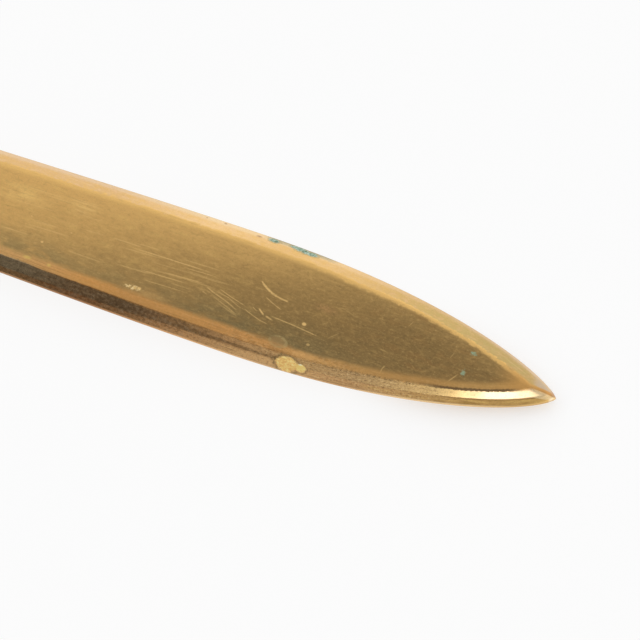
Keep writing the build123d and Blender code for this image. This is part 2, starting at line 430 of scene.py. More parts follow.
def finish_shading(ob, sharp_deg):
    me = ob.data
    me.polygons.foreach_set("use_smooth", [True] * len(me.polygons))
    me.set_sharp_from_angle(angle=math.radians(sharp_deg))
    me.update()


def drill(ob, x, r, sharp_deg):
    """A hole through z at x."""
    n = 40
    turn = [2 * math.pi * (k + 0.5) / n for k in range(n)]
    ring = [(x + r * math.cos(a), r * math.sin(a)) for a in turn]
    verts = [(a, b, -4.0) for a, b in ring] + [(a, b, 4.0) for a, b in ring]
    faces = [(k, (k + 1) % n, n + (k + 1) % n, n + k) for k in range(n)]
    faces += [tuple(reversed(range(n))), tuple(range(n, 2 * n))]
    cutter = make_object("drill", np.array(verts), faces)
    mod = ob.modifiers.new("hole", "BOOLEAN")
    mod.operation, mod.solver, mod.object = "DIFFERENCE", "EXACT", cutter
    dg = bpy.context.evaluated_depsgraph_get()
    me = bpy.data.meshes.new_from_object(ob.evaluated_get(dg))
    ob.modifiers.clear()
    old, ob.data = ob.data, me
    bpy.data.meshes.remove(old)
    bpy.data.objects.remove(cutter)
    finish_shading(ob, sharp_deg)


verts, faces = blade_mesh()
blade = make_object("blade_body", verts, faces)
drill(blade, -33.0, 1.275, 38.0)
co = np.empty(len(blade.data.vertices) * 3)
blade.data.vertices.foreach_get("co", co)
own = unplace(co.reshape(-1, 3))
edge_d = np.full(len(own), 6.0)
for side in (-1, 1):
    for up in (-1, 1):
        m = (own[:, 0] > 0) & (np.sign(own[:, 1]) == side) & (np.sign(own[:, 2] + 1e-9) == up)
        m |= (own[:, 0] > 0) & (own[:, 1] == 0) & (side > 0) & (np.sign(own[:, 2] + 1e-9) == up)
        x, y = own[m, 0], np.abs(own[m, 1])
        edge_d[m] = ground(edge_distance(x, y), x, y, side, up)
attr = blade.data.attributes.new("edge_d", "FLOAT", "POINT")
attr.data.foreach_set("value", edge_d.astype(np.float32))


def bake_map(me, own):
    """A flat layout of the blade for baked maps: the upper side in the lower part of
    the sheet, the under side over it, the hidden tang in a strip at the top."""
    def read(items, what, kind, width=1):
        a = np.empty(len(items) * width, kind)
        items.foreach_get(what, a)
        return a.reshape(-1, width) if width > 1 else a

    vert = read(me.loops, "vertex_index", np.int32)
    first, count = read(me.polygons, "loop_start", np.int32), read(me.polygons, "loop_total", np.int32)
    face = np.repeat(np.arange(len(first)), count)
    p = own[vert]
    x, y, z = p.T
    mid = np.add.reduceat(p, first, axis=0) / count[:, None]
    top = (read(me.polygons, "normal", np.float32, 3)[:, 2] > 0)[face]
    hidden = (mid[:, 0] < 0.001)[face]
    # out from the middle line, the drop down the bevel or the side is added to the width
    at = np.linspace(0, BLADE_LEN, 900)
    crown = np.interp(x, at, bevel_height(np.minimum(edge_distance(at, 0 * at), FLAT_START)))
    out = np.sign(y) * (np.abs(y) + crown - np.where(top, z, -z))
    # each side is cut in two at half its length, one strip over the other
    front = (mid[:, 0] > BLADE_LEN / 2)[face]
    u = 0.006 + 0.988 * (2 * x / BLADE_LEN - front)
    v = np.where(top, 0.140 + 0.276 * front + out / 12.8 * 0.132, 0.642 + 0.174 * front + out / 13.2 * 0.080)
    # tang: along it, and round it
    r = np.hypot(y, z)
    turn, mean = np.arctan2(z, y), np.arctan2(mid[:, 2], mid[:, 1])[face]
    turn = np.where(r < 1e-6, mean, mean + (turn - mean + math.pi) % (2 * math.pi) - math.pi)
    u = np.where(hidden, 0.008 + 0.98 * (x - 0.6 * r + 106.0) / 108.0, u)
    v = np.where(hidden, 0.954 + turn / (2 * math.pi) * 0.05, v)
    layer = me.uv_layers.new(name="OFBake")
    layer.data.foreach_set("uv", np.stack([u, v], -1).astype(np.float32).ravel())


bake_map(blade.data, own)


# ---------------------------------------------------------------------------
# marks on the blade's flats: points (mm), half width (mm), strength
# ---------------------------------------------------------------------------
STROKES = [
    ([(64.5, 0.62), (78.2, 0.92)], 0.10, 0.62),
    ([(66.8, -2.66), (75.4, -2.3)], 0.09, 0.5),
    ([(73.6, 0.22), (79.3, 0.5)], 0.08, 0.45),
    ([(70.6, -1.75), (78.1, -1.3)], 0.08, 0.55),
    ([(51.6, 5.36), (57.2, 5.40)], 0.13, 0.45),
    ([(52.3, 4.62), (56.4, 4.55)], 0.13, 0.40),
    ([(52.6, 3.92), (55.5, 3.66)], 0.13, 0.40),
    ([(42.5, -3.3), (47.6, -3.15)], 0.08, 0.45),
    ([(54.8, -3.6), (57.7, -3.55)], 0.07, 0.35),
    ([(78.5, -1.7), (79.75, -2.21)], 0.09, 0.6),
    ([(79.75, -2.21), (82.44, -3.03), (84.5, -3.89)], 0.10, 0.5),
    ([(80.7, -1.34), (82.85, -2.01), (85.5, -2.71)], 0.065, 0.6),
    ([(80.3, -1.86), (82.47, -2.27), (84.8, -3.29)], 0.06, 0.5),
    ([(78.0, -2.6), (79.1, -3.0)], 0.08, 0.4),
    ([(80.1, -2.91), (82.67, -3.85), (84.7, -4.67)], 0.11, 0.36),
    ([(80.95, -3.7), (83.45, -4.45), (85.0, -4.92)], 0.11, 0.26),
    ([(85.7, -3.28), (87.15, -3.8), (88.6, -4.26), (90.0, -4.46)], 0.075, 0.55),
    ([(86.6, 2.4), (87.1, 1.98)], 0.12, 0.75),
    ([(87.1, 1.98), (87.9, 1.45), (88.9, 0.96), (89.7, 0.7)], 0.165, 0.95),
    ([(89.7, 0.7), (90.6, 0.52), (91.9, 0.4)], 0.12, 0.8),
    ([(88.2, -0.05), (89.76, -0.77), (91.35, -1.33)], 0.08, 0.55),
    ([(87.8, -2.3), (89.0, -3.2)], 0.13, 0.9),
    ([(89.3, -3.23), (90.55, -3.52)], 0.13, 0.8),
    ([(86.75, -2.4), (87.7, -2.95)], 0.07, 0.45),
    ([(90.1, -2.93), (94.1, -3.2), (98.6, -3.67)], 0.09, 0.6),
    ([(120.7, -3.8), (121.9, -2.0)], 0.09, 0.45),
    ([(110.0, -6.2), (110.1, -5.25), (110.4, -4.7)], 0.08, 0.4),
    ([(111.7, 3.0), (112.3, 4.3)], 0.07, 0.3),
    ([(119.8, 0.2), (120.2, 1.3)], 0.07, 0.3),
]
UNDER_STROKES = [
    ([(20.0, 2.0), (33.0, 2.6)], 0.09, 0.5),
    ([(46.0, -3.2), (61.0, -2.4)], 0.08, 0.5),
    ([(71.0, 4.6), (77.0, 1.2)], 0.09, 0.6),
    ([(73.2, 4.4), (80.4, 0.2)], 0.07, 0.5),
    ([(96.0, -1.0), (99.4, -2.6), (103.0, -3.3)], 0.12, 0.8),
    ([(108.0, 2.2), (116.0, 1.7)], 0.08, 0.5),
]
_r = random.Random(41)


def extra(n, x0, x1, y0, y1, angle, spread, length, width, strength):
    out = []
    for _ in range(n):
        x, y = _r.uniform(x0, x1), _r.uniform(y0, y1)
        a, l = math.radians(_r.gauss(angle, spread)), _r.uniform(*length)
        out.append(([(x, y), (x + l * math.cos(a), y + l * math.sin(a))], _r.uniform(*width), _r.uniform(*strength)))
    return out


STROKES += extra(15, 55, 76, -4.5, 1.8, 1.6, 0.7, (3, 9), (0.06, 0.11), (0.22, 0.46))
STROKES += extra(10, 30, 54, -2.5, 6.5, 1.0, 0.9, (3, 8), (0.08, 0.15), (0.18, 0.38))
STROKES += extra(8, 77.0, 82.5, -3.4, -0.9, -18, 4.0, (2.5, 6), (0.035, 0.06), (0.12, 0.26))
STROKES += extra(6, 96, 122, -4, 3, 20, 50, (0.8, 2.2), (0.07, 0.11), (0.10, 0.22))
UNDER_STROKES += extra(9, 20, 95, -6, 6, 0.5, 4.0, (4, 11), (0.05, 0.08), (0.2, 0.45))

# light specks on the upper flat: place, radius, strength
SPECKS = [
    (95.7, -2.4, 0.46, 1.0), (97.5, -5.57, 0.38, 0.5), (50.2, -3.6, 0.30, 0.75), (46.75, 0.18, 0.22, 0.45),
    (54.1, -0.4, 0.22, 0.4), (66.6, -6.05, 0.32, 0.8), (67.5, -5.95, 0.45, 0.85), (68.3, -5.85, 0.42, 0.9),
]


def stroke_group():
    """Distance test of a point from a straight stroke that fades at its free ends."""
    t = bpy.data.node_groups.new("stroke", "ShaderNodeTree")
    for n, k in (("P", "NodeSocketVector"), ("A", "NodeSocketVector"), ("AB", "NodeSocketVector"),
                 ("ABn", "NodeSocketVector"), ("W", "NodeSocketFloat"), ("Head", "NodeSocketFloat"),
                 ("Tail", "NodeSocketFloat")):
        t.interface.new_socket(n, in_out="INPUT", socket_type=k)
    t.interface.new_socket("Mask", in_out="OUTPUT", socket_type="NodeSocketFloat")
    g = Graph(t)
    i, o = g.node("NodeGroupInput"), g.node("NodeGroupOutput")
    along = g.vec("DOT_PRODUCT", g.vec("SUBTRACT", i.outputs["P"], i.outputs["A"]), i.outputs["ABn"])
    u = g.math("MINIMUM", g.max(along, 0.0), 1.0)
    on = g.vec("ADD", i.outputs["A"], g.scaled(i.outputs["AB"], u))
    d = g.vec("DISTANCE", i.outputs["P"], on)
    head = g.step(u, i.outputs["Head"], g.add(i.outputs["Head"], 0.34))
    tail = g.step(u, i.outputs["Tail"], g.sub(i.outputs["Tail"], 0.34))
    g.put(o.inputs["Mask"], g.mul(g.step(d, i.outputs["W"], g.mul(i.outputs["W"], 0.2)), head, tail))
    return t


def strokes(g, p2, group, table):
    """All scratches of a table as one mask."""
    total = None
    free = [[pts[0] for pts, _, _ in table], [pts[-1] for pts, _, _ in table]]
    ends = free[0] + free[1]
    for pts, w, k in table:
        for (ax, ay), (bx, by) in zip(pts, pts[1:]):
            n = g.node("ShaderNodeGroup", node_tree=group)
            n.inputs["Head"].default_value = -0.08 if (ax, ay) == pts[0] and ends.count((ax, ay)) == 1 else -1.0
            n.inputs["Tail"].default_value = 1.08 if (bx, by) == pts[-1] and ends.count((bx, by)) == 1 else 2.0
            g.put(n.inputs["P"], p2)
            dx, dy = bx - ax, by - ay
            l2 = dx * dx + dy * dy
            n.inputs["A"].default_value = (ax, ay, 0)
            n.inputs["AB"].default_value = (dx, dy, 0)
            n.inputs["ABn"].default_value = (dx / l2, dy / l2, 0)
            n.inputs["W"].default_value = w / 0.6       # w is where the mask has fallen to half
            v = g.mul(n.outputs[0], k)
            total = v if total is None else g.max(total, v)
    return total


def radius(g, p2, x, y, rx, ry):
    """Distance from x, y in half lengths of an oval: 1 on its outline."""
    return g.vec("LENGTH", g.vec("DIVIDE", g.vec("SUBTRACT", p2, (x, y, 0)), (rx, ry, 1)))


def spot(g, p2, x, y, rx, ry, edge=0.35):
    """A soft round or oval spot at x, y."""
    return g.step(radius(g, p2, x, y, rx, ry), 1.0, 1.0 - edge)


def patches(g, p2, table, grain, depth):
    """Ovals with a broken outline: 1 in the middle, 0 on the outline, negative outside."""
    total = None
    for cx, cy, rx, ry in table:
        v = g.inv(radius(g, p2, cx, cy, rx, ry))
        total = v if total is None else g.max(total, v)
    return g.add(total, g.mul(g.sub(grain, 0.5), depth))


# ---------------------------------------------------------------------------
# blade material
# ---------------------------------------------------------------------------
def blade_material():
    m, g, bsdf = material("blade_brass_tarnished")
    p = own_frame(g)
    x, y, z = g.split(p)
    d = g.node("ShaderNodeAttribute", attribute_name="edge_d").outputs["Fac"]
    side = g.add(g.mul(g.step(y, -0.25, 0.25), 9.0), g.mul(g.step(z, -0.03, 0.03), 5.0))
    pe = g.join(x, d, side)

    cloud = g.noise(p, (0.085, 0.20, 0.3), 3.0, 0.5, 0.5)
    mott = g.noise(p, (0.30, 0.85, 0.5), 4.0, 0.6, 0.3, (11, 3, 0))
    streak = g.noise(p, (0.17, 2.4, 0.7), 4.0, 0.65, 0.15, (0, 5, 2))
    fine = g.noise(p, (0.35, 8.0, 2.0), 3.0, 0.6)
    speck = g.noise(p, (2.0, 2.6, 2.0), 3.0, 0.7, 0.0, (4, 0, 7))
    grain = g.noise(p, (5.0, 5.0, 5.0), 2.0, 0.6)
    along = g.noise(pe, (0.35, 2.4, 1.0), 4.0, 0.6, 0.3)
    lines = g.noise(pe, (0.09, 4.4, 1.0), 3.0, 0.6, 0.0, (0, 2, 0))
    fleck = g.noise(pe, (2.0, 4.4, 1.0), 3.0, 0.65)
    blot = g.noise(p, (0.75, 1.5, 0.8), 4.0, 0.65, 0.4, (9, 1, 3))
    teeth = g.noise(pe, (2.6, 1.2, 1.0), 3.0, 0.7, 0.0, (3, 0, 0))
    lump = g.noise(p, (1.1, 1.3, 1.0), 4.0, 0.7, 0.5, (2, 6, 0))
    skin = g.noise(p, (2.2, 3.0, 2.0), 4.0, 0.7, 0.3, (6, 2, 0))
    blue = g.noise(p, (2.3, 3.2, 1.5), 3.0, 0.65, 0.4, (0, 0, 4))

    # everything below hangs on the last noise, so that the shader is worked out in
    # the order it is written in and few values have to be held at once
    late = g.mul(blue, 1e-9)
    x, y, z, d = (g.add(v, late) for v in (x, y, z, d))
    s = g.sub(BLADE_LEN, x)
    p2 = g.join(x, y, 0.0)
    upper = g.step(z, -0.03, 0.03)
    far = g.step(y, -0.25, 0.25)
    near = g.inv(far)
    light_speck, dark_speck = g.step(speck, 0.52, 0.74), g.step(speck, 0.47, 0.27)
    light_dot, dark_dot = g.step(speck, 0.49, 0.63), g.step(speck, 0.49, 0.36)

    # flat: darker over the point and along the near side, lighter towards the guard and the far edge
    lean = g.add(s, g.mul(y, 3.0), g.mul(g.sub(cloud, 0.5), 24.0))
    flat_lightness = g.step(lean, 26.0, 106.0)
    flat = g.mix(flat_lightness, (0.30, 0.19, 0.072), (0.73, 0.44, 0.15))
    lift = g.mul(far, g.step(d, 7.0, 3.9), g.step(s, 80.0, 40.0))
    flat = g.mix(g.mul(lift, 0.3), flat, (0.56, 0.355, 0.13))
    flat = g.mix(g.mul(far, g.step(d, 8.0, 4.2), g.step(s, 38.0, 54.0), 0.30), flat, (0.90, 0.55, 0.19))
    flat = g.mix(g.mul(g.step(mott, 0.5, 0.72), flat_lightness, 0.4), flat, (0.84, 0.55, 0.18))
    rubbed = g.mul(spot(g, p2, 43.6, 3.3, 7.0, 2.4, 0.95), g.step(mott, 0.32, 0.58))
    rubbed = g.max(rubbed, g.mul(spot(g, p2, 54.4, 4.7, 3.8, 1.2, 0.9), g.step(streak, 0.36, 0.6)))
    flat = g.mix(g.mul(rubbed, upper, 0.6), flat, (0.96, 0.63, 0.22))
    green = g.mul(g.step(y, -1.0, -7.0), g.step(s, 20.0, 34.0), g.step(s, 115.0, 92.0), g.step(mott, 0.25, 0.6))
    deep = g.max(g.band(s, 34.0, 40.0, 56.0, 66.0), g.band(s, 80.0, 86.0, 93.0, 100.0))
    flat = g.mix(g.mul(green, g.add(0.36, g.mul(deep, 0.24))), flat, (0.225, 0.18, 0.085))
    flush = g.mul(spot(g, p2, 69.5, -6.3, 6.0, 1.5, 0.95), upper)
    flat = g.mix(g.mul(flush, 0.65), flat, (0.62, 0.365, 0.13))
    flat = g.mix(g.mul(g.step(s, 46.0, 26.0), g.step(mott, 0.45, 0.7), 0.45), flat, (0.34, 0.19, 0.068))
    show = g.add(0.3, g.mul(flat_lightness, 0.7))
    flat = g.mix(g.mul(g.step(streak, 0.55, 0.75), show, 0.28), flat, (0.86, 0.56, 0.2))
    flat = g.mix(g.mul(g.step(streak, 0.44, 0.28), 0.16), flat, (0.2, 0.135, 0.055))
    flat = g.mix(g.mul(g.step(fine, 0.52, 0.75), 0.12), flat, (0.9, 0.62, 0.25))
    flat = g.mix(g.mul(g.step(blot, 0.50, 0.72), g.add(0.20, g.mul(flat_lightness, 0.18))), flat, (0.78, 0.50, 0.18))
    flat = g.mix(g.mul(g.step(blot, 0.54, 0.26), g.sub(0.34, g.mul(flat_lightness, 0.10))), flat, g.mix(flat_lightness, (0.19, 0.13, 0.056), (0.40, 0.255, 0.10)))
    flat = g.mix(g.mul(light_speck, g.step(s, 80.0, 15.0, 0.26, 0.42)), flat, (0.68, 0.45, 0.175))
    flat = g.mix(g.mul(dark_speck, g.step(s, 80.0, 15.0, 0.16, 0.48)), flat, (0.14, 0.10, 0.043))

    # far bevel, paler towards its edge: the pale colour there is partly painted reflection of the white backdrop
    far_main = g.ramp(s, (0, (0.60, 0.39, 0.15)), (8, (0.55, 0.385, 0.15)), (20, (0.64, 0.44, 0.165)),
                      (30, (0.72, 0.47, 0.185)), (42, (0.86, 0.56, 0.235)), (50, (0.85, 0.54, 0.215)),
                      (62, (0.93, 0.62, 0.285)), (80, (0.78, 0.50, 0.22)), (138, (0.78, 0.50, 0.22)))
    far_low = g.ramp(s, (0, (0.77, 0.59, 0.40)), (10, (0.74, 0.53, 0.33)), (25, (0.75, 0.50, 0.24)),
                     (42, (0.94, 0.65, 0.33)), (62, (0.94, 0.70, 0.40)), (80, (0.82, 0.58, 0.34)),
                     (138, (0.82, 0.58, 0.36)))
    pale = g.add(d, g.mul(g.sub(along, 0.5), 0.9), g.step(s, 36.0, 18.0, 0.0, 0.4))
    far_col = g.mix(g.step(pale, 1.35, 0.6), far_main, far_low)
    far_col = g.mix(g.mul(g.step(along, 0.52, 0.75), 0.26), far_col, (0.98, 0.70, 0.36))
    far_col = g.mix(g.mul(g.step(along, 0.46, 0.28), 0.24), far_col, (0.62, 0.385, 0.15))
    patch = g.mul(g.step(blot, 0.48, 0.62), g.step(d, 0.5, 1.6), g.step(s, 14.0, 34.0, 0.18, 0.42))
    far_col = g.mix(patch, far_col, (0.86, 0.53, 0.165))
    far_col = g.mix(g.mul(g.step(blot, 0.47, 0.34), g.step(s, 12.0, 30.0, 0.10, 0.30)), far_col, (0.90, 0.58, 0.34))
    far_col = g.mix(g.mul(light_dot, 0.09), far_col, (0.98, 0.72, 0.46))
    far_col = g.mix(g.mul(dark_dot, 0.08), far_col, (0.60, 0.36, 0.16))
    greenish = g.mul(g.step(blot, 0.44, 0.60), g.band(s, 2.0, 6.0, 22.0, 34.0), g.step(d, 0.6, 1.3))
    far_col = g.mix(g.mul(greenish, 0.35), far_col, (0.46, 0.40, 0.16))
    far_col = g.mix(g.mul(g.step(d, 0.2, 0.02), 0.5), far_col, (0.45, 0.33, 0.2))
    stain = g.mul(g.band(s, 40.0, 43.0, 51.0, 54.5), upper)
    far_col = g.mix(g.mul(stain, g.step(g.add(d, g.mul(g.sub(blot, 0.5), 0.8)), 1.05, 0.45), 0.75), far_col, (0.51, 0.45, 0.285))
    far_col = g.mix(g.mul(stain, g.step(d, 0.34, 0.12), 0.6), far_col, (0.30, 0.24, 0.16))

    # near bevel: streaked and browner towards the guard; its pale cream at the tip is partly painted highlight,
    # whitening the strip box's reflection there
    near_main = g.ramp(s, (0, (0.90, 0.66, 0.40)), (10, (0.90, 0.66, 0.40)), (16, (0.88, 0.60, 0.25)),
                       (22, (0.70, 0.46, 0.19)), (32, (0.62, 0.395, 0.175)), (40, (0.74, 0.45, 0.185)),
                       (46, (0.84, 0.50, 0.21)), (53, (0.88, 0.49, 0.20)), (59, (0.62, 0.345, 0.14)),
                       (65, (0.50, 0.275, 0.12)), (70, (0.29, 0.17, 0.08)), (80, (0.37, 0.215, 0.10)),
                       (90, (0.49, 0.36, 0.205)), (104, (0.48, 0.35, 0.195)), (122, (0.70, 0.44, 0.16)),
                       (138, (0.70, 0.44, 0.16)))
    near_low = g.ramp(s, (0, (0.72, 0.44, 0.14)), (20, (0.70, 0.42, 0.155)), (32, (0.74, 0.43, 0.185)),
                      (40, (0.88, 0.52, 0.22)), (46, (0.97, 0.58, 0.25)), (53, (0.99, 0.58, 0.245)),
                      (58, (0.97, 0.53, 0.22)), (64, (0.87, 0.455, 0.185)), (70, (0.56, 0.285, 0.112)),
                      (80, (0.49, 0.205, 0.072)), (90, (0.57, 0.305, 0.122)), (104, (0.56, 0.30, 0.12)),
                      (122, (0.70, 0.43, 0.155)), (138, (0.70, 0.43, 0.155)))
    near_col = g.mix(g.step(g.add(d, g.step(s, 62.0, 70.0, 0.0, 0.2)), 1.13, 0.93), near_main, near_low)
    low = g.mul(g.step(d, 1.1, 0.9), g.step(s, 36.0, 22.0))
    near_col = g.mix(g.mul(g.step(along, 0.50, 0.66), low, 0.65), near_col, (0.96, 0.63, 0.20))
    near_col = g.mix(g.mul(g.step(along, 0.48, 0.34), low, 0.6), near_col, (0.40, 0.23, 0.055))
    # a dark band along the near bevel's main facet, just above its low facet
    dark_band = g.mul(g.band(g.add(d, g.mul(g.sub(along, 0.5), 0.5)), 1.12, 1.32, 1.5, 1.78), g.band(s, 40.0, 45.0, 58.0, 68.0))
    near_col = g.mix(g.mul(dark_band, 0.6), near_col, (0.20, 0.105, 0.04))
    # flecks along the near bevel from its pitted surface; the light flecks are partly painted glints
    grainy = g.band(s, 13.0, 22.0, 44.0, 58.0)
    near_col = g.mix(g.mul(g.step(fleck, 0.52, 0.68), grainy, 0.62), near_col, (0.94, 0.66, 0.34))
    near_col = g.mix(g.mul(g.step(fleck, 0.48, 0.32), g.add(0.2, g.mul(grainy, 0.42))), near_col, (0.22, 0.12, 0.05))
    near_col = g.mix(g.mul(g.step(lines, 0.55, 0.72), g.step(s, 20.0, 34.0), 0.42), near_col, (0.80, 0.46, 0.19))
    near_col = g.mix(g.mul(g.step(lines, 0.46, 0.30), g.step(s, 8.0, 30.0), 0.48), near_col, (0.24, 0.12, 0.05))
    dim = g.band(s, 44.0, 64.0, 104.0, 122.0)
    near_col = g.mix(g.mul(light_dot, dim, 0.27), near_col, (0.84, 0.62, 0.38))
    near_col = g.mix(g.mul(dark_dot, g.add(0.12, g.mul(dim, 0.28))), near_col, (0.13, 0.08, 0.04))
    near_col = g.mix(g.mul(g.step(blot, 0.52, 0.66), dim, 0.18), near_col, (0.66, 0.54, 0.36))
    near_col = g.mix(g.mul(g.step(blot, 0.46, 0.32), dim, 0.22), near_col, (0.16, 0.10, 0.05))
    # painted shade: a dark line along the crease between the low and main facets, towards the point
    painted_facet_shade = g.mul(g.band(g.add(d, g.mul(g.sub(blot, 0.5), 0.3)), 0.80, 0.94, 1.04, 1.16), g.step(s, 26.0, 12.0))
    near_col = g.mix(g.mul(painted_facet_shade, 0.55), near_col, (0.34, 0.18, 0.06))
    rim = g.ramp(s, (0, (0.64, 0.41, 0.16)), (6, (0.70, 0.46, 0.20)), (12, (0.88, 0.62, 0.32)),
                 (24, (0.88, 0.61, 0.32)), (34, (0.56, 0.33, 0.145)), (46, (0.59, 0.38, 0.19)),
                 (56, (0.68, 0.41, 0.19)), (66, (0.56, 0.31, 0.135)), (78, (0.36, 0.19, 0.09)),
                 (104, (0.36, 0.20, 0.097)), (122, (0.62, 0.39, 0.145)), (138, (0.62, 0.39, 0.145)))
    near_col = g.mix(g.mul(g.step(d, 0.30, 0.06), 0.8), near_col, rim)

    wob = g.add(d, g.mul(g.sub(mott, 0.5), 0.45), g.mul(g.sub(blot, 0.5), g.blend(far, 0.5, 1.2)))
    wob = g.add(wob, g.mul(g.sub(speck, 0.5), g.blend(far, 0.4, 0.8)))
    wob = g.add(wob, g.step(x, 15.6, 12.2, 0.0, 5.0))       # the plain bar by the guard has no bevel
    colour = g.mix(g.step(wob, 2.75, 2.4), flat, g.mix(far, near_col, far_col))
    orange = g.ramp(s, (0, (0.72, 0.405, 0.13)), (8, (0.68, 0.40, 0.135)), (14, (0.65, 0.38, 0.13)),
                    (20, (0.58, 0.325, 0.108)), (32, (0.66, 0.37, 0.125)), (40, (0.82, 0.455, 0.155)),
                    (45, (0.68, 0.345, 0.112)), (52, (0.76, 0.38, 0.12)), (60, (0.71, 0.36, 0.113)),
                    (70, (0.67, 0.34, 0.107)), (78, (0.75, 0.37, 0.110)), (90, (0.74, 0.42, 0.158)),
                    (138, (0.76, 0.42, 0.15)))
    orange = g.mix(g.mul(g.step(lines, 0.48, 0.32), 0.4), orange, (0.40, 0.20, 0.065))
    orange = g.mix(g.mul(g.step(lines, 0.55, 0.70), 0.3), orange, (0.82, 0.48, 0.17))
    mixed = g.band(s, 30.0, 36.0, 48.0, 60.0)
    orange = g.mix(g.mul(g.step(blot, 0.46, 0.60), g.add(0.12, g.mul(mixed, 0.38))), orange, (0.44, 0.22, 0.075))
    orange = g.mix(g.mul(light_dot, g.add(0.12, g.mul(mixed, 0.2))), orange, (0.84, 0.54, 0.25))
    orange = g.mix(g.mul(dark_dot, g.add(0.12, g.mul(mixed, 0.16))), orange, (0.34, 0.17, 0.06))
    inner = g.add(wob, g.step(s, 80.0, 90.0, 0.0, -0.2))
    reach = g.add(wob, g.step(s, 38.0, 54.0, 0.0, -0.5), g.step(s, 82.0, 92.0, 0.0, 0.3))
    colour = g.mix(g.mul(near, g.step(inner, 2.2, 2.5), g.step(reach, 4.1, 3.0), 0.92), colour, orange)
    # painted highlight: a bright gold line along the far shoulder, between flat and bevel
    painted_far_highlight = g.mix(g.mul(g.step(along, 0.52, 0.34), 0.5), (0.88, 0.55, 0.185), (0.66, 0.42, 0.15))
    painted_far_highlight = g.mix(g.step(s, 46.0, 32.0, 0.0, 0.5), painted_far_highlight, (1.0, 0.62, 0.21))
    narrow = g.add(wob, g.mul(g.max(g.sub(wob, 2.8), 0.0), g.step(s, 40.0, 20.0, 0.0, 0.5)))
    colour = g.mix(g.mul(far, g.band(narrow, 2.3, 2.6, 2.85, 3.75), 0.85), colour, painted_far_highlight)
    tip = g.mul(g.step(s, 11.5, 5.0), g.step(d, 1.9, 2.6))
    ridge = g.mul(g.step(g.math("ABSOLUTE", g.sub(y, 0.12)), 0.56, 0.22), g.step(s, 7.5, 5.0), g.step(d, 0.25, 0.7))
    tip = g.max(tip, ridge)
    colour = g.mix(g.mul(tip, 0.85), colour, (0.68, 0.37, 0.115))
    # the last of the far bevel, where the metal has a bluish film
    film = g.mul(far, g.band(s, 0.6, 1.6, 3.0, 5.0), g.band(d, 0.3, 0.7, 1.5, 2.1), g.inv(ridge))
    colour = g.mix(g.mul(film, 0.75), colour, (0.60, 0.48, 0.36))
    colour = g.mix(g.mul(g.step(s, 1.5, 0.5), far, 0.6), colour, (0.45, 0.19, 0.07))
    colour = g.mix(g.mul(ridge, g.step(s, 4.6, 2.2), 0.4), colour, (0.66, 0.30, 0.085))
    # painted highlight: the near bevel's bright reflection carried on in pale colour down to the point, where its low
    # facet runs out
    painted_tip_highlight = g.mul(near, g.step(g.sub(d, g.mul(s, 0.30)), -0.14, 0.02), g.step(s, 4.4, 3.2), g.step(y, 0.02, -0.12))
    colour = g.mix(g.mul(painted_tip_highlight, 0.7), colour, (1.0, 0.76, 0.42))
    # painted highlight: a small near-white spot on the low facet by the point
    colour = g.mix(g.mul(near, g.band(s, 0.35, 0.6, 0.8, 1.2), g.step(d, 0.5, 0.25), 0.45), colour, (1.0, 0.88, 0.68))

    rough = g.add(0.37, g.mul(g.sub(streak, 0.5), 0.10))
    rough = g.blend(g.mul(g.step(d, 2.75, 2.4), g.step(x, 12.2, 15.6)), rough, g.blend(far, g.step(s, 12.0, 26.0, 0.13, 0.25), 0.34))
    rough = g.blend(tip, rough, 0.36)

    # painted shade: a dark, toothed line in the crease between flat and bevel on the near side, standing in for a
    # dark reflection there
    line = g.band(g.add(d, g.mul(g.sub(teeth, 0.5), 0.5)), 2.12, 2.26, 2.48, 2.72)
    much = g.max(g.mul(g.band(s, 5.0, 8.0, 17.0, 24.0), 0.9), g.mul(g.band(s, 14.0, 22.0, 32.0, 46.0), g.step(teeth, 0.42, 0.62), 0.65))
    painted_shoulder_shade = g.mul(near, upper, line, much)
    colour = g.mix(painted_shoulder_shade, colour, (0.15, 0.085, 0.03))
    rough = g.blend(painted_shoulder_shade, rough, 0.6)

    # scratches and specks
    group = stroke_group()
    worn = g.mul(g.step(fine, 0.15, 0.5), g.step(speck, 0.22, 0.52, 0.45, 1.0))
    st = g.mul(strokes(g, p2, group, STROKES), upper)
    st = g.max(st, g.mul(strokes(g, p2, group, UNDER_STROKES), g.inv(upper)))
    sp = None
    for cx, cy, r, k in SPECKS:
        v = g.mul(spot(g, p2, cx, cy, r, r * 0.8, 0.5), k)
        sp = v if sp is None else g.max(sp, v)
    crumbs = g.mul(spot(g, p2, 67.3, -6.0, 2.0, 0.55, 0.6), g.step(speck, 0.48, 0.60), 0.95)
    marks = g.max(g.mul(st, worn), g.mul(g.max(sp, crumbs), upper))
    colour = g.mix(marks, colour, (0.90, 0.59, 0.225))
    colour = g.mix(g.mul(crumbs, upper, 0.8), colour, (1.0, 0.80, 0.42))
    rough = g.blend(marks, rough, 0.32)

    # stains: a ring, a reddish smear, pits in the far edge
    q = g.add(radius(g, p2, 92.75, -6.75, 1.55, 1.0), g.mul(g.sub(blot, 0.5), 0.7))
    colour = g.mix(g.mul(g.step(q, 1.05, 0.6), upper, 0.5), colour, (0.45, 0.285, 0.12))
    ring = g.mul(g.band(q, 0.66, 0.86, 0.98, 1.16), g.step(blot, 0.31, 0.51), g.step(x, 91.4, 94.0, 0.65, 1.0))
    colour = g.mix(g.mul(ring, upper, g.step(d, 2.6, 3.2), 0.56), colour, (0.55, 0.41, 0.18))
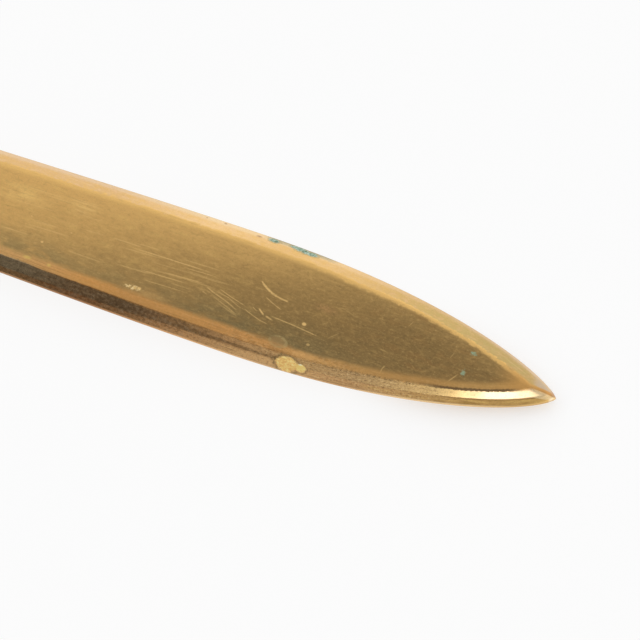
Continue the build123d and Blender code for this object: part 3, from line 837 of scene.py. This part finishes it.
    # painted glints: two small bright gold spots on the upper flat
    painted_glint = g.max(spot(g, p2, 49.0, -7.0, 1.1, 0.45, 0.9), spot(g, p2, 52.9, -7.1, 0.55, 0.4, 0.9))
    colour = g.mix(g.mul(painted_glint, upper, 0.6), colour, (0.86, 0.62, 0.17))
    warm = g.mul(spot(g, p2, 97.4, -7.6, 2.8, 0.8, 0.9), upper)
    colour = g.mix(g.mul(warm, 0.55), colour, (0.84, 0.485, 0.18))
    smear = g.mul(spot(g, p2, 98.2, 1.35, 2.9, 1.1, 0.95), upper, g.step(speck, 0.34, 0.62))
    colour = g.mix(g.mul(smear, 0.5), colour, (0.56, 0.30, 0.125))
    pits = g.max(spot(g, p2, 77.2, 10.5, 0.45, 0.30, 0.9), spot(g, p2, 83.3, 10.15, 0.75, 0.34, 0.9),
                 spot(g, p2, 73.9, 10.4, 0.28, 0.2, 0.9))
    colour = g.mix(g.mul(pits, upper, 0.75), colour, (0.46, 0.25, 0.13))

    # hard yellow residue on the near bevel
    sc = g.add(patches(g, p2, SCAB, lump, 0.7), g.mul(g.sub(speck, 0.5), 0.35))
    scab_on = g.mul(g.step(sc, 0.0, 0.2), upper)
    scab_colour_and_highlight = g.mix(g.step(skin, 0.40, 0.58), (0.84, 0.465, 0.135), (1.0, 0.71, 0.235))
    scab_colour_and_highlight = g.mix(g.mul(g.step(skin, 0.54, 0.66), 0.7), scab_colour_and_highlight, (1.0, 0.86, 0.38))
    scab_colour_and_highlight = g.mix(g.mul(g.step(lump, 0.50, 0.36), 0.3), scab_colour_and_highlight, (0.78, 0.43, 0.12))
    scab_colour_and_highlight = g.mix(g.mul(g.step(sc, 0.22, 0.04), g.step(y, -9.9, -9.2), 0.6), scab_colour_and_highlight, (0.76, 0.66, 0.22))
    scab_colour_and_highlight = g.mix(g.mul(spot(g, p2, 97.7, -9.5, 1.2, 0.9, 0.8), 0.5), scab_colour_and_highlight, (0.94, 0.77, 0.235))
    # painted highlight: a small near-white streak where the two lobes meet
    scab_colour_and_highlight = g.mix(spot(g, p2, 97.45, -9.12, 0.5, 0.16, 0.9), scab_colour_and_highlight, (1.0, 0.97, 0.70))
    halo = g.mul(g.band(sc, -0.42, -0.14, -0.04, 0.06), g.step(lump, 0.35, 0.6), upper)
    colour = g.mix(g.mul(halo, 0.65), colour, (0.22, 0.165, 0.07))
    colour = g.mix(scab_on, colour, scab_colour_and_highlight)
    rough = g.blend(scab_on, rough, 0.42)

    # verdigris
    cr = patches(g, p2, CRUST, blue, 1.3)
    crust_on = g.mul(g.step(cr, -0.06, 0.30), upper)
    crust_col = g.mix(g.step(blue, 0.38, 0.52), (0.13, 0.20, 0.11), (0.32, 0.46, 0.35))
    crust_col = g.mix(g.step(blue, 0.50, 0.64), crust_col, (0.56, 0.66, 0.53))
    fringe = g.mul(g.band(cr, -0.5, -0.15, 0.0, 0.1), upper)
    spots = g.max(spot(g, p2, 123.2, 2.2, 0.95, 0.6, 1.0), spot(g, p2, 122.6, -1.5, 0.75, 1.0, 1.0))
    spots = g.mul(g.step(g.add(spots, g.mul(g.sub(blue, 0.5), 2.4)), 0.3, 0.9), upper, g.step(spots, 0.0, 0.3))
    colour = g.mix(g.mul(fringe, 0.45), colour, (0.40, 0.33, 0.15))
    colour = g.mix(g.mul(spots, 0.75), colour, (0.30, 0.44, 0.28))
    colour = g.mix(crust_on, colour, crust_col)
    rough = g.blend(g.max(crust_on, spots), rough, 0.85)

    dull = g.max(crust_on, g.mul(spots, 0.9), g.mul(scab_on, 0.75), g.mul(painted_shoulder_shade, 0.5))
    g.put(bsdf.inputs["Base Color"], g.scaled(colour, g.add(0.90, g.mul(grain, 0.2))))
    g.put(bsdf.inputs["Roughness"], rough)
    g.put(bsdf.inputs["Metallic"], g.inv(dull))
    n1 = g.bump(g.add(streak, g.mul(fine, 0.5), g.mul(speck, 0.8)), 1.2e-6)
    lumps = g.mul(fleck, g.step(d, 2.9, 2.4), g.blend(far, g.step(s, 10.0, 24.0, 0.15, 1.0), 0.6))
    n2 = g.bump(g.add(lumps, g.mul(crust_on, g.mul(blue, 8.0)), g.mul(scab_on, g.mul(lump, 2.0))), 3.2e-6, n1)
    g.put(bsdf.inputs["Normal"], n2)
    return m


blade.data.materials.clear()
blade.data.materials.append(blade_material())
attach(blade, "root")
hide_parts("blade")


# ---------------------------------------------------------------------------
# handle materials
# ---------------------------------------------------------------------------
def brass(name, lay, tone, rough0, seed, joints=(), slot=False):
    """Worn satin brass. lay: frequencies (per mm) of the finishing lines.
    joints: where along the opener tarnish has gathered; slot: also around the blade."""
    m, g, bsdf = material(name)
    p = own_frame(g)
    cloud = g.noise(p, (0.16, 0.20, 0.26), 4.0, 0.55, 0.5, (seed, 0, 0))
    blot = g.noise(p, (0.7, 0.7, 0.7), 4.0, 0.6, 0.4, (0, seed, 0))
    line = g.noise(p, lay, 4.0, 0.6, 0.0, (0, 0, seed))
    nick = g.noise(p, tuple(0.35 + 0.3 * v for v in reversed(lay)), 2.0, 0.6, 0.2, (seed, seed, 0))
    grain = g.noise(p, (5.0, 5.0, 5.0), 2.0, 0.6)
    c = tuple(tone)
    dark = tuple(v * 0.60 for v in c)
    pale = tuple(min(v * 1.28 + 0.02, 0.96) for v in c)
    colour = g.mix(g.step(cloud, 0.32, 0.66), dark, c)
    colour = g.mix(g.mul(g.step(blot, 0.52, 0.75), 0.4), colour, (0.42, 0.235, 0.08))
    colour = g.mix(g.mul(g.step(line, 0.52, 0.75), 0.45), colour, pale)
    colour = g.mix(g.mul(g.step(line, 0.46, 0.28), 0.35), colour, dark)
    colour = g.mix(g.mul(g.step(nick, 0.66, 0.74), 0.4), colour, pale)
    colour = g.scaled(colour, g.add(0.9, g.mul(grain, 0.2)))
    rough = g.add(rough0, g.mul(g.sub(line, 0.5), 0.14), g.mul(g.sub(cloud, 0.5), -0.12))
    x, y, z = g.split(p)
    soil = [g.step(g.math("ABSOLUTE", g.sub(x, at)), 0.8, 0.0) for at in joints]
    if slot:
        gap = g.max(g.sub(g.math("ABSOLUTE", y), 9.8), g.sub(g.math("ABSOLUTE", z), 1.5))
        soil.append(g.mul(g.step(gap, 1.2, 0.0), g.step(x, -1.2, -0.3)))
    if soil:
        soil = g.mul(g.max(*soil), g.step(blot, 0.28, 0.60, 0.35, 0.85))
        colour = g.mix(soil, colour, (0.16, 0.092, 0.038))
        rough = g.blend(soil, rough, 0.55)
    g.put(bsdf.inputs["Base Color"], colour)
    g.put(bsdf.inputs["Roughness"], rough)
    bsdf.inputs["Metallic"].default_value = 1.0
    g.put(bsdf.inputs["Normal"], g.bump(g.add(line, g.mul(blot, 1.5)), 1.6e-6))
    return m


def wood():
    """Dark oiled hardwood, the grain along the grip."""
    m, g, bsdf = material("grip_rosewood")
    p = own_frame(g)
    wave = g.noise(p, (0.035, 0.16, 0.16), 3.0, 0.5, 0.0, (7, 0, 0))
    x, y, z = g.split(p)
    q = g.join(0.0, g.add(y, 9.0, g.mul(g.sub(wave, 0.5), 5.0)), g.add(z, 15.0, g.mul(g.sub(wave, 0.5), 4.0)))
    rings = g.math("SINE", g.mul(g.vec("LENGTH", q), 3.6))
    fibre = g.noise(p, (0.05, 2.6, 2.6), 4.0, 0.62)
    stripe = g.add(g.mul(rings, 0.19), g.mul(g.sub(fibre, 0.5), 1.7), 0.5)
    colour = g.ramp(stripe, (0.0, (0.045, 0.016, 0.008)), (0.4, (0.125, 0.046, 0.019)), (0.7, (0.215, 0.085, 0.034)),
                    (1.1, (0.32, 0.145, 0.06)))
    cloud = g.noise(p, (0.06, 0.2, 0.2), 3.0, 0.5, 0.4, (0, 9, 0))
    colour = g.mix(g.mul(g.step(cloud, 0.5, 0.75), 0.4), colour, (0.10, 0.034, 0.016))
    pore = g.cells(p, (0.34, 4.6, 4.6))
    pores = g.mul(g.step(pore, 0.22, 0.10), g.step(fibre, 0.35, 0.55))
    colour = g.mix(g.mul(pores, 0.85), colour, (0.018, 0.008, 0.005))
    g.put(bsdf.inputs["Base Color"], colour)
    g.put(bsdf.inputs["Roughness"], g.add(0.40, g.mul(g.sub(fibre, 0.5), 0.18), g.mul(pores, 0.3)))
    bsdf.inputs["Specular IOR Level"].default_value = 0.45
    g.put(bsdf.inputs["Normal"], g.bump(g.add(g.mul(pores, -1.0), g.mul(fibre, 0.35)), 4.0e-5))
    return m


def fibre_plate():
    """Dark pressed fibre: a layered, slightly felted edge."""
    m, g, bsdf = material("spacer_fibre_dark")
    p = own_frame(g)
    layer = g.noise(p, (7.0, 0.25, 0.25), 3.0, 0.6)
    felt = g.noise(p, (1.6, 2.8, 2.8), 4.0, 0.65, 0.6)
    colour = g.mix(g.step(layer, 0.35, 0.65), (0.022, 0.015, 0.013), (0.062, 0.040, 0.032))
    colour = g.mix(g.mul(g.step(felt, 0.55, 0.75), 0.5), colour, (0.11, 0.07, 0.05))
    g.put(bsdf.inputs["Base Color"], colour)
    g.put(bsdf.inputs["Roughness"], g.add(0.62, g.mul(g.sub(felt, 0.5), 0.3)))
    g.put(bsdf.inputs["Normal"], g.bump(g.add(felt, layer), 1.5e-5))
    return m


def dress(node, m):
    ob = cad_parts[node]
    ob.data.materials.clear()
    ob.data.materials.append(m)


tone = (0.70, 0.43, 0.15)
dress("guard", brass("guard_brass", (3.2, 0.12, 3.2), tone, 0.33, 3.0, slot=True))
ferrule = brass("ferrule_brass", (5.0, 0.16, 0.16), tone, 0.30, 8.0, (-8.0, -16.0, -77.0, -85.0))
dress("front_ferrule", ferrule)
dress("rear_ferrule", ferrule)
dress("pommel", brass("pommel_brass", (4.4, 0.16, 0.16), tone, 0.31, 15.0, (-86.0,)))
fastener = brass("fastener_brass", (2.4, 2.4, 0.3), (0.72, 0.47, 0.175), 0.30, 21.0)
for n in ("grip_pin", "tang_washer", "tang_nut"):
    dress(n, fastener)
dress("grip", wood())
fibre_m = fibre_plate()
dress("front_spacer", fibre_m)
dress("rear_spacer", fibre_m)


# ---------------------------------------------------------------------------
# stage: floor, light, camera
# ---------------------------------------------------------------------------
def floor():
    """White translucent table, lit from below as well as from above."""
    me = bpy.data.meshes.new("floor")
    r = 6.0
    me.from_pydata([(-r, -r, 0), (r, -r, 0), (r, r, 0), (-r, r, 0)], [], [(0, 1, 2, 3)])
    ob = bpy.data.objects.new("floor", me)
    bpy.context.scene.collection.objects.link(ob)
    m, g, bsdf = material("floor_white")
    # the glow from below is weaker under the point, so its shadow shows there
    tc = g.node("ShaderNodeTexCoord")
    r = g.vec("DISTANCE", tc.outputs["Object"], (0.114, -0.006, 0.0))
    albedo = g.step(r, 0.029, 0.006, 0.12, 0.70)
    g.put(bsdf.inputs["Base Color"], g.join(albedo, albedo, albedo))
    bsdf.inputs["Roughness"].default_value = 0.9
    bsdf.inputs["Specular IOR Level"].default_value = 0.0
    bsdf.inputs["Emission Color"].default_value = (1, 1, 1, 1)
    g.put(bsdf.inputs["Emission Strength"], g.sub(0.97, g.mul(albedo, 0.80)))
    me.materials.append(m)


def studio():
    """Soft boxes and dark flags, laid out over the dome."""
    w = bpy.data.worlds.new("studio")
    bpy.context.scene.world = w
    w.use_nodes = True
    g = Graph(w.node_tree)
    bg = w.node_tree.nodes["Background"]
    tc = g.node("ShaderNodeTexCoord")
    x, y, z = g.split(tc.outputs["Generated"])
    ax = g.math("ABSOLUTE", x)
    far = g.step(y, 0.42, 0.80)
    light = g.add(0.62, g.mul(far, 0.38))
    light = g.add(light, g.mul(g.step(x, 0.02, -0.30), g.step(y, 0.02, 0.20), g.inv(far), 0.14))
    light = g.add(light, g.mul(g.step(ax, 0.50, 0.72), 0.5))
    # dark flag on the near left
    u = g.add(x, g.mul(g.add(y, 0.325), -0.16))
    flag = g.mul(g.step(u, -0.03, -0.19), g.step(y, -0.10, -0.24), g.step(ax, 0.62, 0.45), g.step(y, -0.90, -0.76))
    light = g.mul(light, g.sub(1.0, g.mul(flag, 0.84)))
    # bright strip box on the near right
    strip = g.mul(g.band(x, 0.14, 0.265, 0.275, 0.42), g.band(y, -0.42, -0.36, -0.18, -0.10))
    light = g.add(light, g.mul(strip, 1.9))
    g.put(bg.inputs["Strength"], light)
    bg.inputs["Color"].default_value = (1.0, 1.0, 1.0, 1)


def camera():
    a, e, dist = math.radians(19.649), math.radians(66.657), 290.068
    tx, ty, f = -38.014, 12.728, 1800.0
    ca, sa, ce, se = math.cos(a), math.sin(a), math.cos(e), math.sin(e)
    back = Vector((sa * ce, -ca * ce, se))
    right = Vector((ca, sa, 0))
    up = Vector((-sa * se, ca * se, ce))
    tip = Vector(place((BLADE_LEN, 0, 0)))
    at = tip + (back * dist + right * tx + up * ty) * 0.001
    cam = bpy.data.cameras.new("camera")
    cam.sensor_fit, cam.sensor_width = "HORIZONTAL", 36.0
    cam.lens = f / 640.0 * 36.0
    cam.clip_start = 0.01
    ob = bpy.data.objects.new("camera", cam)
    bpy.context.scene.collection.objects.link(ob)
    m = Matrix((right, up, back)).transposed().to_4x4()
    m.translation = at
    ob.matrix_world = m
    bpy.context.scene.camera = ob


floor()
studio()
camera()
bpy.context.scene.view_settings.view_transform = "Standard"
